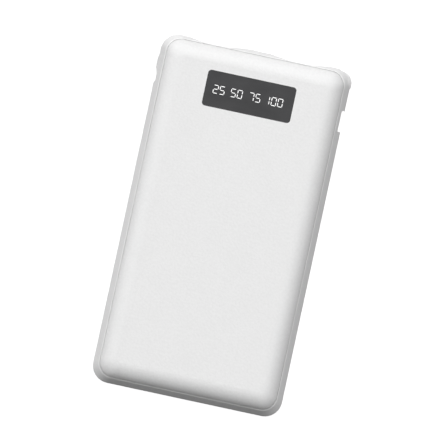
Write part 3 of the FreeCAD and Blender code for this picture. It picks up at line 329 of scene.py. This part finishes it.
def polished_window(slot):
    """Polished dark acrylic with wiped smears, hairline scratches and specks of dust."""
    mat, shader = principled(slot, Specular_IOR_Level=0.35, Coat_Weight=0.2, Coat_Roughness=0.06)
    smears = noise(mat, 3.5 * MM, detail=4, stretch=(0.35, 1, 1))
    hairs = noise(mat, 0.12 * MM, detail=1, stretch=(0.03, 1, 1))
    specks = spread(mat, cells(mat, 1.3 * MM), 1, 0, start=0.02, end=0.035)
    tones(mat, shader, smears, colours[slot], change=0.03)
    gloss(mat, shader, smears, rough=0.24, change=0.03)
    rub(mat, shader, specks, rough=0.5)
    relief(mat, shader, [(smears, 0.5 * UM), (hairs, 0.15 * UM)])
    return mat


def light_guide(slot):
    """Milky plastic lit from below."""
    mat, shader = principled(
        slot, Specular_IOR_Level=0.4, Emission_Color=WHITE, Emission_Strength=0.45
    )
    milk = noise(mat, 0.5 * MM, detail=3)
    grain = noise(mat, 0.08 * MM)
    tones(mat, shader, milk, colours[slot], change=0.05)
    gloss(mat, shader, milk, rough=0.45, change=0.08)
    relief(mat, shader, [(grain, 1 * UM)])
    return mat


def drawn_metal(slot, rough, grain, stretch, depth):
    """Sheet or bar metal: fine lines along the way it was drawn, and cloudy tarnish."""
    mat, shader = principled(slot, Metallic=1.0)
    clouds = noise(mat, TARNISH * grain, detail=4)
    lines = noise(mat, grain, detail=2, stretch=stretch)
    tones(mat, shader, clouds, colours[slot], change=0.06)
    gloss(mat, shader, lines, rough, change=0.08)
    rub(mat, shader, worn_edges(mat, HARD_EDGE), rough=EDGE_SHINE * rough)
    relief(mat, shader, [(clouds, TARNISH_DEPTH * depth), (lines, depth)])
    return mat


def pouch_foil(slot):
    """Laminated aluminium with soft wrinkles and a fine rolling grain."""
    mat, shader = principled(slot, Metallic=0.85, Coat_Weight=0.25, Coat_Roughness=0.2)
    wrinkles = noise(mat, 7 * MM, detail=3, stretch=(1, 0.6, 1))
    rolled = noise(mat, 0.15 * MM, detail=1, stretch=(1, 0.05, 1))
    tones(mat, shader, wrinkles, colours[slot], change=0.05)
    gloss(mat, shader, rolled, rough=0.36, change=0.06)
    relief(mat, shader, [(wrinkles, 0.12 * MM), (rolled, 1 * UM)])
    return mat


def foam(slot, size, depth):
    """Closed cells with thin raised walls."""
    mat, shader = principled(slot, Specular_IOR_Level=0.2)
    walls = spread(mat, cells(mat, size, "DISTANCE_TO_EDGE"), 1, 0, start=0.0, end=0.3)
    stains = noise(mat, 10 * size, detail=3)
    scuffs = noise(mat, 4 * size)
    tones(mat, shader, stains, colours[slot], change=0.15)
    gloss(mat, shader, scuffs, rough=0.9, change=0.06)
    relief(mat, shader, [(walls, depth)])
    return mat


def tissue_tape(slot):
    """Fibrous double-sided tape."""
    mat, shader = principled(slot, Specular_IOR_Level=0.3)
    fibres = noise(mat, 0.2 * MM, detail=3, stretch=(0.12, 1, 1))
    glue = noise(mat, 3 * MM)
    tones(mat, shader, fibres, colours[slot], change=0.06)
    gloss(mat, shader, glue, rough=0.6, change=0.1)
    relief(mat, shader, [(fibres, 8 * UM)])
    return mat


def circuit_board(slot):
    """Solder mask over glass cloth, with the traces standing up a little under it."""
    mat, shader = principled(slot, Specular_IOR_Level=0.5, Coat_Weight=0.3, Coat_Roughness=0.15)
    blocks = cells(mat, 2.2 * MM, "DISTANCE_TO_EDGE")
    traces = spread(mat, blocks, 1, 0, start=0.05, end=0.09)
    cloth = noise(mat, 0.25 * MM, detail=1, stretch=(1, 0.4, 1))
    scuffs = noise(mat, 1.5 * MM, detail=3)
    plain, paler = tinted(colours[slot], 1), tinted(colours[slot], TRACE_PALER)
    feed(mat, shader.inputs["Base Color"], ramp(mat, traces, plain, paler))
    gloss(mat, shader, scuffs, rough=0.35, change=0.07)
    relief(mat, shader, [(traces, 0.03 * MM), (cloth, 2 * UM)])
    return mat


def fired(slot, rough, size, depth, drift=0.08):
    """Ferrite or ceramic: fine pores, and edges worn duller."""
    mat, shader = principled(slot, Specular_IOR_Level=0.45)
    pores = spread(mat, cells(mat, size), 0, 1, start=0.05, end=0.3)
    stains = noise(mat, 8 * size, detail=3)
    scuffs = noise(mat, 3 * size)
    tones(mat, shader, stains, colours[slot], drift)
    gloss(mat, shader, scuffs, rough, change=0.08)
    rub(mat, shader, worn_edges(mat, HARD_EDGE), rough + EDGE_DULL)
    relief(mat, shader, [(pores, depth)])
    return mat


def sleeve(slot):
    """Silicone insulation: matt, with faint rings from its die."""
    mat, shader = principled(slot, Specular_IOR_Level=0.35)
    rings = noise(mat, 0.25 * MM, detail=1, stretch=(0.2, 1, 0.2))
    stains = noise(mat, 2 * MM)
    scuffs = noise(mat, 0.6 * MM, detail=3)
    tones(mat, shader, stains, colours[slot], change=0.06)
    gloss(mat, shader, scuffs, rough=0.55, change=0.08)
    relief(mat, shader, [(rings, 6 * UM)])
    return mat


dark_moulded = partial(moulded, drift=0.1)

FINISHES = {  # each slot's material, still to be given the slot's name
    "cover_white": partial(
        moulded,
        rough=0.55,
        grain=0.16 * MM,
        depth=5 * UM,
        specular=0.3,
        drift=0.024,
        edge_rough=0.42,
    ),
    "frame_white": partial(
        band_with_painted_highlight,
        node="mid_frame",
        rough=0.42,
        grain=0.12 * MM,
        depth=1.2 * UM,
        edge_rough=0.32,
    ),
    "button_white": partial(
        moulded, rough=0.38, grain=0.1 * MM, depth=0.8 * UM, edge_rough=0.26
    ),
    "window_dark": polished_window,
    "digit_white": light_guide,
    "adhesive_black": partial(foam, size=0.12 * MM, depth=10 * UM),
    "housing_white": partial(moulded, rough=0.5, grain=0.1 * MM, depth=2 * UM, drift=0.03),
    "pin_gold": partial(
        drawn_metal, rough=0.25, grain=0.05 * MM, stretch=(1, 0.1, 1), depth=0.5 * UM
    ),
    "board_green": circuit_board,
    "screw_steel": partial(
        drawn_metal, rough=0.32, grain=0.06 * MM, stretch=(1, 1, 0.1), depth=1.5 * UM
    ),
    "socket_steel": partial(
        drawn_metal, rough=0.3, grain=0.07 * MM, stretch=(1, 0.06, 1), depth=1 * UM
    ),
    "tongue_orange": partial(
        moulded, rough=0.4, grain=0.08 * MM, depth=1 * UM, drift=0.05, edge_rough=0.3
    ),
    "tongue_black": partial(
        dark_moulded, rough=0.5, grain=0.08 * MM, depth=1.5 * UM, edge_rough=0.4
    ),
    "switch_black": partial(
        dark_moulded, rough=0.45, grain=0.08 * MM, depth=1.5 * UM, edge_rough=0.35
    ),
    "coil_grey": partial(fired, rough=0.6, size=0.12 * MM, depth=8 * UM),
    "core_dark": partial(fired, rough=0.5, size=0.08 * MM, depth=5 * UM),
    "chip_black": partial(
        dark_moulded, rough=0.6, grain=0.05 * MM, depth=2.5 * UM, edge_rough=0.5
    ),
    "cap_tan": partial(fired, rough=0.45, size=0.06 * MM, depth=2 * UM, drift=0.05),
    "cell_foil": pouch_foil,
    "tape_white": tissue_tape,
    "foam_black": partial(foam, size=0.5 * MM, depth=60 * UM),
    "tab_nickel": partial(
        drawn_metal, rough=0.35, grain=0.08 * MM, stretch=(1, 0.08, 1), depth=1.5 * UM
    ),
    "lead_red": sleeve,
    "lead_black": sleeve,
}


def dress():
    """Gives every node the material of its slot."""
    finish = {slot: make(slot) for slot, make in FINISHES.items()}
    for row in record["subparts"]:
        for place in nodes[row["node"]].material_slots:
            place.material = finish[row["material_slot"]]


bpy.context.scene.view_settings.view_transform = "Standard"
camera()
for name, (azimuth, height, power) in LAMPS.items():
    lamp(name, azimuth, height, power)
floor()
world()
dress()
